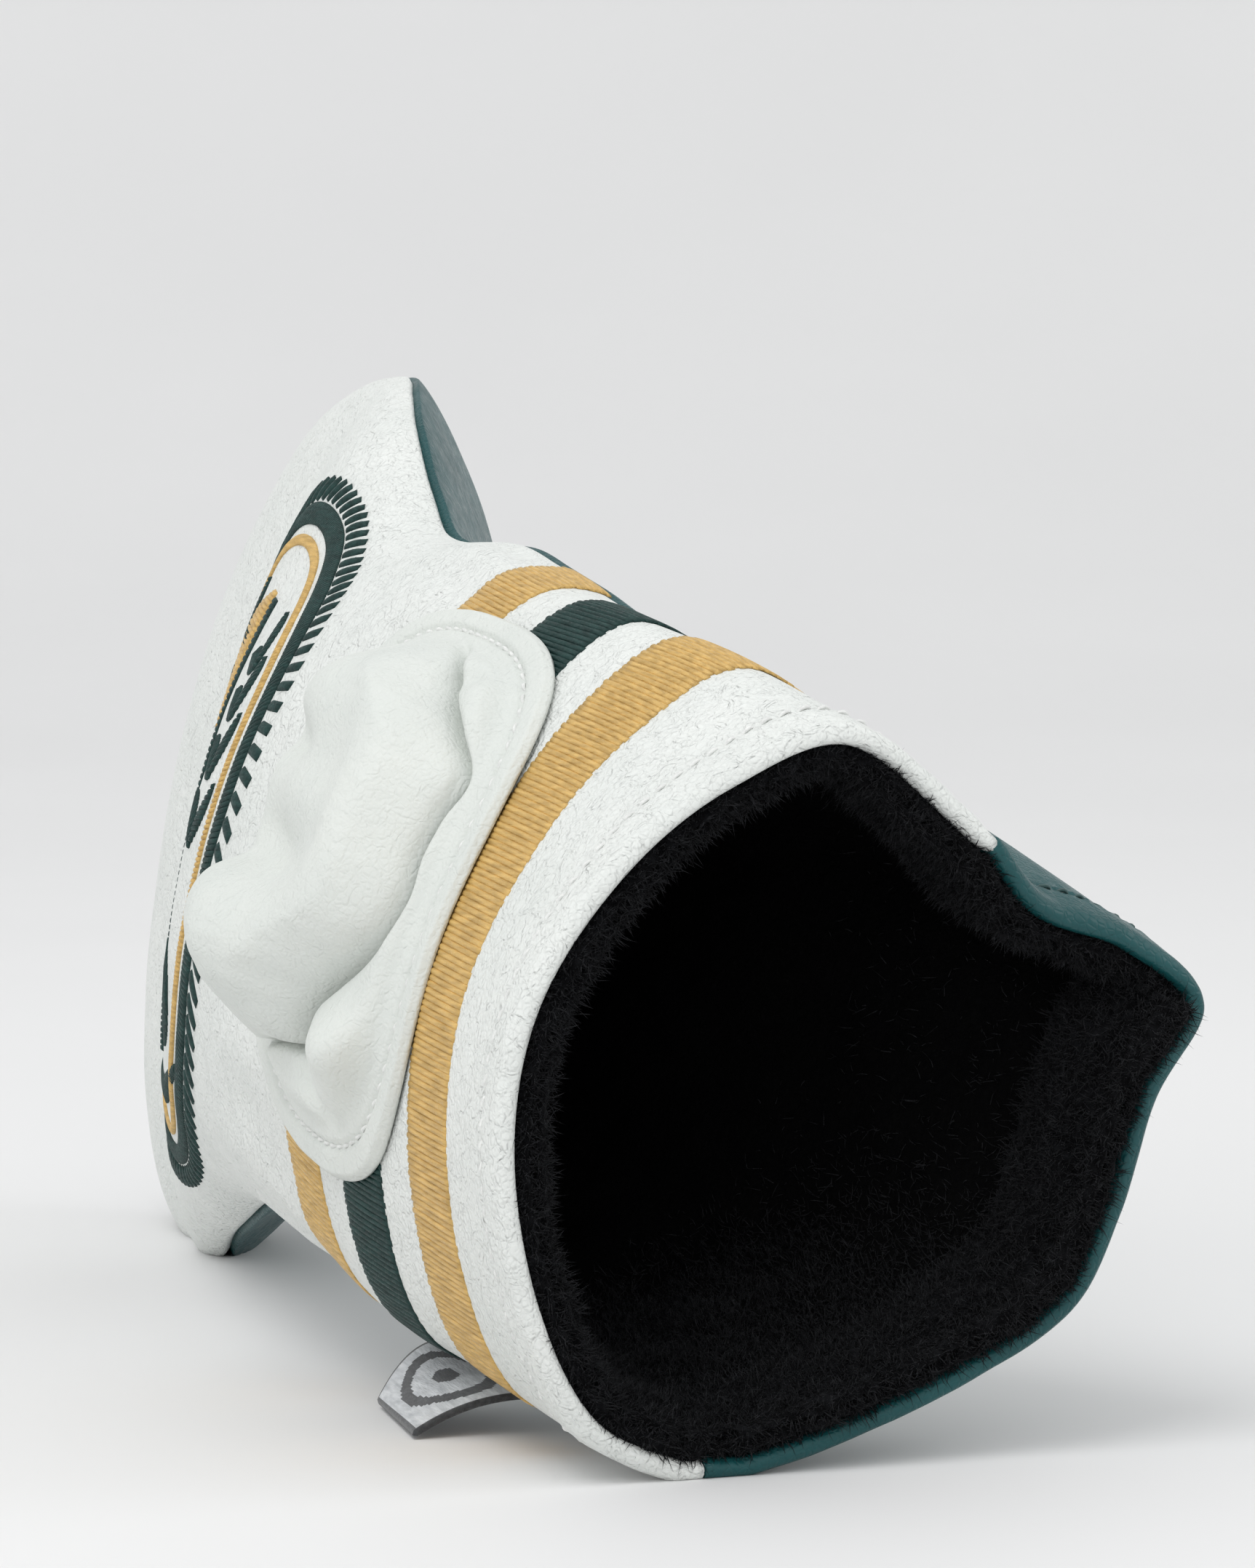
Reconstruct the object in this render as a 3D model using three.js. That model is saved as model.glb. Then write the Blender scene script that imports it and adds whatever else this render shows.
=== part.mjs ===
// A slip-on golf head cover, lying on its side edge.
// The mouth faces -Y and the closed head +Y. The front panel faces -X, the back panel +X, and +Z is up.
// The two leather panels meet along a seam on top and a seam below, and each has a fleece lining.
import * as THREE from "three";
import { mergeVertices } from "three/addons/utils/BufferGeometryUtils.js";

// ---- Driving dimensions, in mm ----
const LENGTH = 278; // from the mouth's rim to the tip of the head, along the cover
const HEAD_FULL = 205; // where the head is at its widest; beyond it the cover closes to the tip
const TIP = { x: 36, z: 86 }; // the point where the head closes
const BACK_PINCH = 0.7; // how much more sharply the back panel meets its seams at the head
const HEAD_LEAN = 0.31; // the head leans back: shift along Y for each mm of height
const LEAN_START = 88;
const LEAN_END = 142;
const MOUTH_FADE = 100; // the mouth's own outline fades out over this length
const LEATHER = 1.2;
const FLEECE = 4;
const GAP = 0.3; // clearance between neighbouring pieces
const LINING_GAP = 0.7; // between leather and fleece, which follow each other over their whole length
const SEAM_HALF_GAP = 0.2;
const LINING_TRIM = { front: 0.014, back: 0.036 }; // share of its width a lining leaves free
const BAND_START = 0.8; // the fleece band inside the rim
const BAND_END = 14;
const BAND_EXTRA = 0.8; // how much thicker the band is than the lining
const HEM_STITCH = 6.6; // distance of the hem's stitch line from the rim
const THREAD = 0.5;
const EMBROIDERY = 0.6;
const CREST_LIFT = 0.9; // clearance under the emblem, whose facets don't follow the panel's
const STRIPES = {
  stripe_gold_mouth: [21.5, 36],
  stripe_green: [46, 60],
  stripe_gold_neck: [70, 84],
};
const PATCH = { s: 66, u: 0.54, halfS: 32, halfU: 0.265, power: 2.5, flange: 0.88, puff: 14.8 };
const CREST = { s: 163, u: 0.5, halfAcross: 42, halfUp: 50 };
const LABEL = { start: 37, end: 61, tipX: -23.2, skew: 3.8, trail: 2, thickness: 0.9 };
const CENTRE = { x: 15.27, y: 138.15 }; // middle of the whole cover, which becomes the origin

// How the seams and the depth of each panel run along the cover. The cover rests on its mouth and its
// head, so there the lower seam dips below the floor, which presses the leather flat.
const STATIONS = [
  { s: 0, top: [41, 77.5], bottom: [1, -1.5], front: 47, back: 36 },
  { s: 30, top: [28, 93], bottom: [-5, 5], front: 34, back: 34 },
  { s: 65, top: [18, 105], bottom: [-11.5, 10.5], front: 26, back: 27 },
  { s: 100, top: [17, 113], bottom: [-12, 16], front: 24.5, back: 22 },
  { s: 140, top: [15, 114.5], bottom: [-3, 15], front: 28, back: 22 },
  { s: 157, top: [17, 122], bottom: [-0.5, 10], front: 25, back: 24 },
  { s: 175, top: [20, 132], bottom: [3, 4], front: 22, back: 27 },
  { s: 190, top: [24, 137], bottom: [7, -2], front: 20, back: 29.5 },
  { s: HEAD_FULL, top: [28, 139.5], bottom: [11, -3.5], front: 19, back: 31 },
];

// The mouth's outline, as (x, z): the front panel's edge from the lower seam over the left to the top seam,
// then the back panel's edge, with its dip and its pinched corner, down to the lower seam again.
const MOUTH_FRONT = [
  [1, -1.5],
  [-14, 6],
  [-22.5, 22],
  [-25.7, 42],
  [-22, 60],
  [-10.5, 75.8],
  [4.5, 86.5],
  [22.3, 91.3],
  [41, 77.5],
];
const MOUTH_BACK = [
  [41, 77.5],
  [48, 69],
  [60, 64.5],
  [69.8, 56],
  [63, 44],
  [58, 29.6],
  [51, 17.6],
  [36, 9.2],
  [18, 2.6],
  [1, -1.5],
];

// How finely the large panels are divided.
const PANEL_ROWS = 26;
const TIP_ROWS = 8;
const PANEL_COLUMNS = 18;

// ---- Smooth curves ----
const mix = (a, b, t) => a + (b - a) * t;

function smoothStep(from, to, value) {
  const t = Math.min(1, Math.max(0, (value - from) / (to - from)));
  return t * t * (3 - 2 * t);
}

// A cubic through (xs, ys), with each knot's slope taken from its two neighbours. It may end level.
function smoothTable(xs, ys, level = false) {
  const last = xs.length - 1;
  const slopes = xs.map((_, i) => {
    const a = Math.max(0, i - 1);
    const b = Math.min(last, i + 1);
    return (ys[b] - ys[a]) / (xs[b] - xs[a]);
  });
  if (level) slopes[last] = 0;
  return (x) => {
    let i = 0;
    while (i < last - 1 && x > xs[i + 1]) i++;
    const step = xs[i + 1] - xs[i];
    const t = Math.min(1, Math.max(0, (x - xs[i]) / step));
    const t2 = t * t;
    const t3 = t2 * t;
    return (
      (2 * t3 - 3 * t2 + 1) * ys[i] +
      (t3 - 2 * t2 + t) * step * slopes[i] +
      (3 * t2 - 2 * t3) * ys[i + 1] +
      (t3 - t2) * step * slopes[i + 1]
    );
  };
}

const knots = STATIONS.map((station) => station.s);
const alongCover = (read) => smoothTable(knots, STATIONS.map(read), true);
const along = {
  topX: alongCover((station) => station.top[0]),
  topZ: alongCover((station) => station.top[1]),
  bottomX: alongCover((station) => station.bottom[0]),
  bottomZ: alongCover((station) => station.bottom[1]),
  front: alongCover((station) => station.front),
  back: alongCover((station) => station.back),
};

// ---- The cover's surface ----
// side is "front" or "back". u runs from 0 at the lower seam to 1 at the top seam on either side.
// inset is how far inside the leather's outer surface the point lies, so a negative inset lies outside.

function mouthPoint(side, u) {
  const points = side === "front" ? MOUTH_FRONT : [...MOUTH_BACK].reverse();
  const at = points.map((_, i) => i / (points.length - 1));
  const xs = smoothTable(at, points.map((point) => point[0]));
  const zs = smoothTable(at, points.map((point) => point[1]));
  return [xs(u), zs(u)];
}

// The oval section at s, scaled by shrink about its middle.
function ovalPoint(side, s, u, inset, shrink) {
  const flat = Math.min(s, HEAD_FULL);
  const top = [along.topX(flat), along.topZ(flat)];
  const bottom = [along.bottomX(flat), along.bottomZ(flat)];
  const half = [(top[0] - bottom[0]) / 2, (top[1] - bottom[1]) / 2];
  const reach = Math.hypot(half[0], half[1]);
  const upward = [half[0] / reach, half[1] / reach];
  const outward = side === "front" ? [-upward[1], upward[0]] : [upward[1], -upward[0]];
  const depth = ((side === "front" ? along.front(flat) : along.back(flat)) - inset) * shrink;
  const rise = -Math.cos(Math.PI * u) * (reach - inset) * shrink;
  const pinch = side === "back" ? BACK_PINCH * smoothStep(LEAN_START, LEAN_END, s) : 0;
  const bulge = Math.pow(Math.max(0, Math.sin(Math.PI * u)), 1 + pinch) * depth;
  return [
    (top[0] + bottom[0]) / 2 + upward[0] * rise + outward[0] * bulge,
    (top[1] + bottom[1]) / 2 + upward[1] * rise + outward[1] * bulge,
  ];
}

function surfacePoint(side, s, u, inset = 0) {
  const end = LENGTH - inset;
  const closing = Math.min(1, Math.max(0, (s - HEAD_FULL) / (end - HEAD_FULL)));
  const shrink = Math.sqrt(1 - closing * closing);
  let [x, z] = ovalPoint(side, s, u, inset, shrink);
  const drift = closing * closing;
  x += (TIP.x - (along.topX(HEAD_FULL) + along.bottomX(HEAD_FULL)) / 2) * drift;
  z += (TIP.z - (along.topZ(HEAD_FULL) + along.bottomZ(HEAD_FULL)) / 2) * drift;
  const fade = 1 - smoothStep(0, MOUTH_FADE, s);
  if (fade > 0) {
    const rim = mouthPoint(side, u);
    const oval = ovalPoint(side, 0, u, 0, 1);
    x += (rim[0] - oval[0]) * fade;
    z += (rim[1] - oval[1]) * fade;
  }
  const middle = (along.topZ(Math.min(s, HEAD_FULL)) + along.bottomZ(Math.min(s, HEAD_FULL))) / 2;
  const lean = HEAD_LEAN * smoothStep(LEAN_START, LEAN_END, s);
  const y = s - lean * (z - middle);
  return new THREE.Vector3(x, y, Math.max(z, Math.max(inset, 0)));
}

// Half the way round one panel at s, in mm, which turns a length across the panel into a step of u.
function panelWidth(side, s) {
  const flat = Math.min(s, HEAD_FULL);
  const reach = (along.topZ(flat) - along.bottomZ(flat)) / 2;
  return Math.PI * Math.sqrt((reach * reach + along[side](flat) ** 2) / 2);
}

// ---- Closed solids from grids of points ----
// outer and inner are grids [row][column] of points. wrap joins the last column to the first.
function gridSolid(outer, inner, wrap) {
  const rows = outer.length;
  const columns = outer[0].length;
  const positions = [];
  const quad = (a, b, c, d) => positions.push(a, b, c, a, c, d);
  const lastColumn = wrap ? columns : columns - 1;
  for (let r = 0; r < rows - 1; r++)
    for (let c = 0; c < lastColumn; c++) {
      const n = (c + 1) % columns;
      quad(outer[r][c], outer[r][n], outer[r + 1][n], outer[r + 1][c]);
      quad(inner[r][c], inner[r + 1][c], inner[r + 1][n], inner[r][n]);
    }
  for (let c = 0; c < lastColumn; c++) {
    const n = (c + 1) % columns;
    const e = rows - 1;
    quad(outer[0][c], inner[0][c], inner[0][n], outer[0][n]);
    quad(outer[e][c], outer[e][n], inner[e][n], inner[e][c]);
  }
  if (!wrap)
    for (let r = 0; r < rows - 1; r++) {
      const e = columns - 1;
      quad(outer[r][0], outer[r + 1][0], inner[r + 1][0], inner[r][0]);
      quad(outer[r][e], inner[r][e], inner[r + 1][e], outer[r + 1][e]);
    }
  return closedGeometry(positions);
}

// Merges the points, drops the triangles that came out with two equal corners, and faces them outwards.
function closedGeometry(points) {
  const flat = new Float32Array(points.length * 3);
  points.forEach((point, i) => point.toArray(flat, i * 3));
  const loose = new THREE.BufferGeometry();
  loose.setAttribute("position", new THREE.BufferAttribute(flat, 3));
  const merged = mergeVertices(loose, 1e-3);
  const kept = [];
  const index = merged.index.array;
  for (let i = 0; i < index.length; i += 3) {
    const [a, b, c] = [index[i], index[i + 1], index[i + 2]];
    if (a !== b && b !== c && c !== a) kept.push(a, b, c);
  }
  if (signedVolume(merged.attributes.position, kept) < 0)
    for (let i = 0; i < kept.length; i += 3) [kept[i + 1], kept[i + 2]] = [kept[i + 2], kept[i + 1]];
  merged.setIndex(kept);
  merged.computeVertexNormals();
  return merged;
}

function signedVolume(position, index) {
  const [a, b, c] = [new THREE.Vector3(), new THREE.Vector3(), new THREE.Vector3()];
  let volume = 0;
  for (let i = 0; i < index.length; i += 3) {
    a.fromBufferAttribute(position, index[i]);
    b.fromBufferAttribute(position, index[i + 1]);
    c.fromBufferAttribute(position, index[i + 2]);
    volume += a.dot(b.cross(c)) / 6;
  }
  return volume;
}

const steps = (from, to, count) => Array.from({ length: count + 1 }, (_, i) => mix(from, to, i / count));

const shifted = (point, shift) => point.add(new THREE.Vector3(shift, 0, 0));

// A strip of one panel between two distances along the cover, from inset outside to inset inside.
function panelStrip({ side, from, to, rows, u = [0, 1], columns, outside, inside, shift = 0 }) {
  const layer = (inset) =>
    steps(from, to, rows).map((s) =>
      steps(u[0], u[1], columns).map((at) => shifted(surfacePoint(side, s, at, inset), shift)),
    );
  return gridSolid(layer(outside), layer(inside), false);
}

// A whole panel from start to the closed tip. The last rows crowd together where the head closes.
function wholePanel({ side, start, outside, inside, shift, trim = 0 }) {
  const layer = (inset) => {
    const body = [start, ...steps(0, HEAD_FULL, PANEL_ROWS).filter((s) => s > start + 1)];
    const cap = steps(0, Math.PI / 2, TIP_ROWS)
      .slice(1)
      .map((angle) => HEAD_FULL + (LENGTH - inset - HEAD_FULL) * Math.sin(angle));
    return [...body, ...cap].map((s) =>
      steps(trim, 1 - trim, PANEL_COLUMNS).map((at) => shifted(surfacePoint(side, s, at, inset), shift)),
    );
  };
  return gridSolid(layer(outside), layer(inside), false);
}

// A square thread along a list of centre points, in the plane of each point's two given directions.
function threadAlong(centres, across, up, size, closed = false) {
  const corners = [
    [-1, -1],
    [1, -1],
    [1, 1],
    [-1, 1],
  ];
  const rings = centres.map((centre, i) =>
    corners.map(([a, b]) =>
      centre
        .clone()
        .addScaledVector(across(i), (a * size) / 2)
        .addScaledVector(up(i), (b * size) / 2),
    ),
  );
  const positions = [];
  const quad = (a, b, c, d) => positions.push(a, b, c, a, c, d);
  const count = closed ? rings.length : rings.length - 1;
  for (let i = 0; i < count; i++) {
    const next = rings[(i + 1) % rings.length];
    for (let k = 0; k < 4; k++) quad(rings[i][k], rings[i][(k + 1) % 4], next[(k + 1) % 4], next[k]);
  }
  if (!closed) {
    const end = rings[rings.length - 1];
    quad(rings[0][3], rings[0][2], rings[0][1], rings[0][0]);
    quad(end[0], end[1], end[2], end[3]);
  }
  return closedGeometry(positions);
}

// ---- Materials ----
function material(color, roughness, metalness = 0) {
  return new THREE.MeshStandardMaterial({ color, roughness, metalness });
}
const whiteLeather = () => material(0xe9ebe8, 0.45);
const greenLeather = () => material(0x1f5a58, 0.35);
const fleece = () => material(0x121315, 0.95);
const goldThread = () => material(0xc69c58, 0.5, 0.1);
const greenThread = () => material(0x1d3d38, 0.6);
const whiteThread = () => material(0xe4e6e2, 0.6);
const wovenLabel = () => material(0xb9bdc0, 0.7);

const cover = new THREE.Group();

function add(name, geometry, finish, parent = cover) {
  const mesh = new THREE.Mesh(geometry, finish);
  mesh.name = name;
  parent.add(mesh);
  return mesh;
}

// ---- The two leather panels ----
function addShells() {
  const shell = { start: 0, outside: 0, inside: LEATHER };
  add("front_shell", wholePanel({ ...shell, side: "front", shift: -SEAM_HALF_GAP }), whiteLeather());
  add("back_shell", wholePanel({ ...shell, side: "back", shift: SEAM_HALF_GAP }), greenLeather());
}

// ---- The fleece linings and the band inside the rim ----
function addLinings() {
  const outside = LEATHER + LINING_GAP;
  const inside = outside + FLEECE;
  for (const [side, shift] of [
    ["front", -SEAM_HALF_GAP],
    ["back", SEAM_HALF_GAP],
  ]) {
    const lining = { side, start: BAND_END + GAP, outside, inside, trim: LINING_TRIM[side], shift };
    add(side + "_lining", wholePanel(lining), fleece());
    const ends = { from: BAND_START, to: BAND_END, rows: 2, columns: PANEL_COLUMNS };
    const band = { ...ends, side, outside, inside: inside + BAND_EXTRA, shift };
    add(side + "_rim_band", panelStrip(band), fleece());
  }
}

// ---- The three embroidered stripes across the front panel ----
function addStripes() {
  for (const [name, [from, to]] of Object.entries(STRIPES)) {
    const finish = name === "stripe_green" ? greenThread() : goldThread();
    const field = { side: "front", from, to, rows: 2, u: [0.06, 0.97], columns: 26 };
    const layers = { outside: -GAP - EMBROIDERY, inside: -GAP, shift: -SEAM_HALF_GAP };
    add(name, panelStrip({ ...field, ...layers }), finish);
  }
}

// ---- The puffed oval patch over the gathered neck, its elastic and its stitching ----
const FLANGE_UNDER = GAP + EMBROIDERY + 2 * GAP; // the patch lies over the stripes
const FLANGE_TOP = FLANGE_UNDER + 1;

// r is 0 at the patch's middle and 1 at its edge, which is an oval with rounded corners.
function patchPoint(r, angle, height) {
  const [cos, sin] = [Math.cos(angle), Math.sin(angle)];
  const reach = r * (Math.abs(cos) ** PATCH.power + Math.abs(sin) ** PATCH.power) ** (-1 / PATCH.power);
  const s = PATCH.s + PATCH.halfS * reach * cos;
  const u = PATCH.u + PATCH.halfU * reach * sin;
  return surfacePoint("front", s, u, -height);
}

function patchHeight(r) {
  if (r >= PATCH.flange) return FLANGE_TOP;
  return FLANGE_TOP + PATCH.puff * Math.pow(1 - (r / PATCH.flange) ** 2, 0.6);
}

function addPatch() {
  const radii = [...steps(0, PATCH.flange, 8), 0.93, 1];
  const angles = steps(0, 2 * Math.PI, 28).slice(0, -1);
  const layer = (heightAt) => radii.map((r) => angles.map((angle) => patchPoint(r, angle, heightAt(r))));
  const under = (r) => (r >= PATCH.flange ? FLANGE_UNDER : Math.max(FLANGE_UNDER, patchHeight(r) - 1.2));
  add("gather_patch", gridSolid(layer(patchHeight), layer(under), true), whiteLeather());

  const elastic = { side: "front", from: 59, to: 73, rows: 3, u: [0.4, 0.68], columns: 10 };
  const low = FLANGE_UNDER + GAP;
  add("gather_elastic", panelStrip({ ...elastic, outside: -low - 1, inside: -low }), whiteThread());

  const ring = steps(0, 2 * Math.PI, 40).slice(0, -1);
  const lift = FLANGE_TOP + GAP + THREAD / 2;
  const centres = ring.map((angle) => patchPoint(0.94, angle, lift));
  const outwards = (i) => patchPoint(0.94, ring[i], lift + 1).sub(centres[i]).normalize();
  const sideways = (i) => patchPoint(1, ring[i], lift).sub(centres[i]).normalize();
  add("patch_stitch", threadAlong(centres, sideways, outwards, THREAD, true), whiteThread());
}

// ---- The stitch line of the hem on each panel, and the threads of the two seams ----
function addThreads() {
  for (const side of ["front", "back"]) {
    const lift = GAP + SEAM_HALF_GAP + THREAD / 2;
    const at = side === "front" ? steps(0.08, 0.97, 36) : steps(0.22, 0.97, 36);
    const centres = at.map((u) => surfacePoint(side, HEM_STITCH, u, -lift));
    const outwards = (i) => surfacePoint(side, HEM_STITCH, at[i], -lift - 1).sub(centres[i]).normalize();
    const sideways = () => new THREE.Vector3(0, 1, 0);
    const finish = side === "front" ? whiteThread() : greenThread();
    add(side + "_hem_stitch", threadAlong(centres, sideways, outwards, THREAD), finish);
  }
  for (const [name, u] of [
    ["top_seam_thread", 1],
    ["bottom_seam_thread", 0],
  ]) {
    const depth = LEATHER + LINING_GAP + 1;
    const rows = steps(0, HEAD_FULL, PANEL_ROWS).filter((s) => s > BAND_END + 1);
    const centres = rows.map((s) => surfacePoint("front", s, u, depth));
    const upwards = () => new THREE.Vector3(0, 0, 1);
    const sideways = () => new THREE.Vector3(1, 0, 0);
    add(name, threadAlong(centres, sideways, upwards, THREAD * 2), whiteThread());
  }
}

// ---- The embroidered emblem on the head ----
// across is measured along the cover and upwards around the panel, both in mm from the emblem's middle.
function crestPoint(across, upwards, height) {
  const s = CREST.s + across;
  return surfacePoint("front", s, CREST.u + upwards / panelWidth("front", s), -height);
}

// An oval ring between two distances in from the emblem's edge.
function crestRing(from, to) {
  const angles = steps(0, 2 * Math.PI, 48).slice(0, -1);
  const ovalAt = (r, a, lift) =>
    crestPoint((CREST.halfAcross - r) * Math.cos(a), (CREST.halfUp - r) * Math.sin(a), lift);
  const layer = (lift) => [from, to].map((r) => angles.map((a) => ovalAt(r, a, lift)));
  return gridSolid(layer(CREST_LIFT + EMBROIDERY), layer(CREST_LIFT), true);
}

// A field of stitches between a left edge and a right edge, each given as across = edge(upwards).
function crestField(left, right, bottom, top, rows) {
  const layer = (height) =>
    steps(bottom, top, rows).map((upwards) =>
      steps(left(upwards), right(upwards), 3).map((across) => crestPoint(across, upwards, height)),
    );
  return gridSolid(layer(CREST_LIFT + EMBROIDERY), layer(CREST_LIFT), false);
}

function addCrest() {
  add("crest_outer_ring", crestRing(0, 5), greenThread());
  add("crest_gold_ring", crestRing(8, 10), goldThread());
  add("crest_flagstick", crestField(() => -1.2, () => 1.2, -28, 30, 14), greenThread());
  const pennant = (upwards) => 2 + 18 * (1 - Math.abs(upwards - 22) / 8.5);
  add("crest_flag", crestField(() => 1.6, pennant, 14, 30, 6), goldThread());
  const round = (upwards) => Math.sqrt(Math.max(0.5, 7 ** 2 - (upwards + 18) ** 2));
  add("crest_ball", crestField((b) => -14 - round(b), (b) => -14 + round(b), -25, -11, 10), greenThread());
}

// ---- The woven labels ----
// The folded side label comes out of the lower seam, arches, and droops to the floor.
function addSideLabel() {
  const root = [LABEL.start, LABEL.end].map((s) => surfacePoint("front", s, 0, -GAP - LABEL.thickness));
  const floor = 0.25 + LABEL.thickness / 2;
  const layer = (side) =>
    steps(0, 1, 4).map((v) =>
      steps(0, 1, 10).map((w) => {
        const start = root[0].clone().lerp(root[1], v);
        const x = mix(start.x, LABEL.tipX + LABEL.skew * v, w);
        const z = floor + (start.z - floor) * (1 - w ** 2.2) + (side * LABEL.thickness) / 2;
        return new THREE.Vector3(x, start.y + LABEL.trail * w, z);
      }),
    );
  add("side_label", gridSolid(layer(1), layer(-1), false), wovenLabel());
}

// The care label hangs inside, behind the front panel's rim.
function addCareLabel() {
  const depth = LEATHER + LINING_GAP + FLEECE + BAND_EXTRA + GAP;
  const tag = { side: "front", from: 18, to: 40, rows: 3, u: [0.3, 0.39], columns: 3 };
  add("care_label", panelStrip({ ...tag, outside: depth, inside: depth + 0.6 }), wovenLabel());
}

addShells();
addLinings();
addStripes();
addPatch();
addThreads();
addCrest();
addSideLabel();
addCareLabel();
cover.position.set(-CENTRE.x, -CENTRE.y, 0);

export default cover;
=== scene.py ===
import math

import bmesh
import bpy
import numpy as np
from mathutils import Matrix, Vector, noise


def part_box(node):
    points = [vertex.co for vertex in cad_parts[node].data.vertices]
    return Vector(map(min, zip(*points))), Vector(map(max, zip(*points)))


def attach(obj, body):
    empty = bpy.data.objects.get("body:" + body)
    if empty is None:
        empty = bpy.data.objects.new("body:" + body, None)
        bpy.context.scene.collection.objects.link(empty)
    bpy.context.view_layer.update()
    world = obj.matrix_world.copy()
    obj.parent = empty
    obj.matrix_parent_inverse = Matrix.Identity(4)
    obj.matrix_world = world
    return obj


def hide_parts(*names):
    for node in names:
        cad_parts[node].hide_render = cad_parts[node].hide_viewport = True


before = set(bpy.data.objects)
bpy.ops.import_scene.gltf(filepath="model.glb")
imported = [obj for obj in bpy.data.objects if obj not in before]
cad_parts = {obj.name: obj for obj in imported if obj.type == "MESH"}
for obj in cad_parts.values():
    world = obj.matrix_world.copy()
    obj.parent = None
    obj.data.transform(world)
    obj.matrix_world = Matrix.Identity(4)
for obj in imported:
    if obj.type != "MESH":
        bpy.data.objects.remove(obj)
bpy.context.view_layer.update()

# ---- The cover's form, in mm ----
# Its own axes are y from the rim along the cover, x from front to back, and z up.
MM = 0.001
LENGTH = 278
HEAD_FULL = 205  # where the head starts to close
TIP = (36, 86)  # where it ends, as x and z
BACK_PINCH = 0.7  # how much narrower the back's bulge is on the head
HEAD_LEAN = 0.31  # the head's upper part stands this share of its height nearer the mouth
LEAN_START, LEAN_END = 88, 142
MOUTH_FADE = 100  # how far the rim's own outline is felt
SEAM_HALF_GAP = 0.2
# Each station: its place along the cover, the top seam, the bottom seam, and the depth of front and back.
STATIONS = [
    (0, (41, 77.5), (1, -1.5), 47, 36),
    (30, (28, 93), (-5, 5), 34, 34),
    (65, (18, 105), (-11.5, 10.5), 26, 27),
    (100, (17, 113), (-12, 16), 24.5, 22),
    (140, (15, 114.5), (-3, 15), 28, 22),
    (157, (17, 122), (-0.5, 10), 25, 24),
    (175, (20, 132), (3, 4), 22, 27),
    (190, (24, 137), (7, -2), 20, 29.5),
    (HEAD_FULL, (28, 139.5), (11, -3.5), 19, 31),
]
# The rim's outline on each side, from the lower seam to the top seam.
MOUTH = {
    "front": [(1, -1.5), (-14, 6), (-22.5, 22), (-25.7, 42), (-22, 60), (-10.5, 75.8), (4.5, 86.5),
              (22.3, 91.3), (41, 77.5)],
    "back": [(1, -1.5), (18, 2.6), (36, 9.2), (51, 17.6), (58, 29.6), (63, 44), (69.8, 56), (60, 64.5),
             (48, 69), (41, 77.5)],
}
MOUTH_CORNER_X = 69.8

# ---- Its pieces, in mm ----
LEATHER = 1.2
HEM = 7.2  # the folded hem at the rim
HEM_STITCH = 6.6
STITCH_PITCH = 2.6
LINING = (1.9, 5.9)  # inset of the fleece lining's two faces
BAND = 14.5  # how far the rim's fleece band reaches inside
STRIPES = {"stripe_gold_mouth": (21.5, 36), "stripe_green": (46, 60), "stripe_gold_neck": (70, 84)}
STRIPE_SPAN = (0.035, 0.985)  # the stripes' ends, across the panel
STITCH_WIDTH = 0.8  # one rib of embroidery
RIB_SECTIONS = 13
RIB_HEIGHT = 0.4
RIB_RAGGED = 0.12  # how far its ends wander
PATCH = {"s": 66, "u": 0.54, "half_s": 32, "half_u": 0.265, "power": 2.5, "flange": 0.86}
CREST = {"s": 163, "u": 0.5, "across": 42, "up": 50}
LABEL = {"start": 37, "end": 61, "tip_x": -23.2, "skew": 3.8, "trail": 2, "thickness": 0.9}

origin_x = MOUTH_CORNER_X + SEAM_HALF_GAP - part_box("back_shell")[1].x / MM
origin_y = -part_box("front_shell")[0].y / MM


def place(points):
    """Points in the cover's own mm as points of the row frame, in metres."""
    return (np.asarray(points, float) - (origin_x, origin_y, 0)) * MM


# ---- Curves, noise and the surface ----
def smooth_step(low, high, value):
    t = np.clip((np.asarray(value, float) - low) / (high - low), 0, 1)
    return t * t * (3 - 2 * t)


def bell(value, middle, width):
    return np.exp(-(((np.asarray(value, float) - middle) / width) ** 2))


def smooth_table(xs, ys, level=False):
    """A cubic through the points, each knot's slope taken from its neighbours. It may end level."""
    xs, ys = np.array(xs, float), np.array(ys, float)
    last = len(xs) - 1
    before = [max(0, i - 1) for i in range(last + 1)]
    after = [min(last, i + 1) for i in range(last + 1)]
    slopes = (ys[after] - ys[before]) / (xs[after] - xs[before])
    if level:
        slopes[last] = 0

    def value(x):
        x = np.asarray(x, float)
        i = np.clip(np.searchsorted(xs, x) - 1, 0, last - 1)
        step = xs[i + 1] - xs[i]
        t = np.clip((x - xs[i]) / step, 0, 1)
        return ((2 * t**3 - 3 * t**2 + 1) * ys[i] + (t**3 - 2 * t**2 + t) * step * slopes[i]
                + (3 * t**2 - 2 * t**3) * ys[i + 1] + (t**3 - t**2) * step * slopes[i + 1])

    return value


knots = [station[0] for station in STATIONS]
along = {
    "top_x": smooth_table(knots, [station[1][0] for station in STATIONS], True),
    "top_z": smooth_table(knots, [station[1][1] for station in STATIONS], True),
    "bottom_x": smooth_table(knots, [station[2][0] for station in STATIONS], True),
    "bottom_z": smooth_table(knots, [station[2][1] for station in STATIONS], True),
    "front": smooth_table(knots, [station[3] for station in STATIONS], True),
    "back": smooth_table(knots, [station[4] for station in STATIONS], True),
}
mouth = {}
for side_name, outline in MOUTH.items():
    at = np.linspace(0, 1, len(outline))
    mouth[side_name] = [smooth_table(at, [point[k] for point in outline]) for k in (0, 1)]


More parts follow.
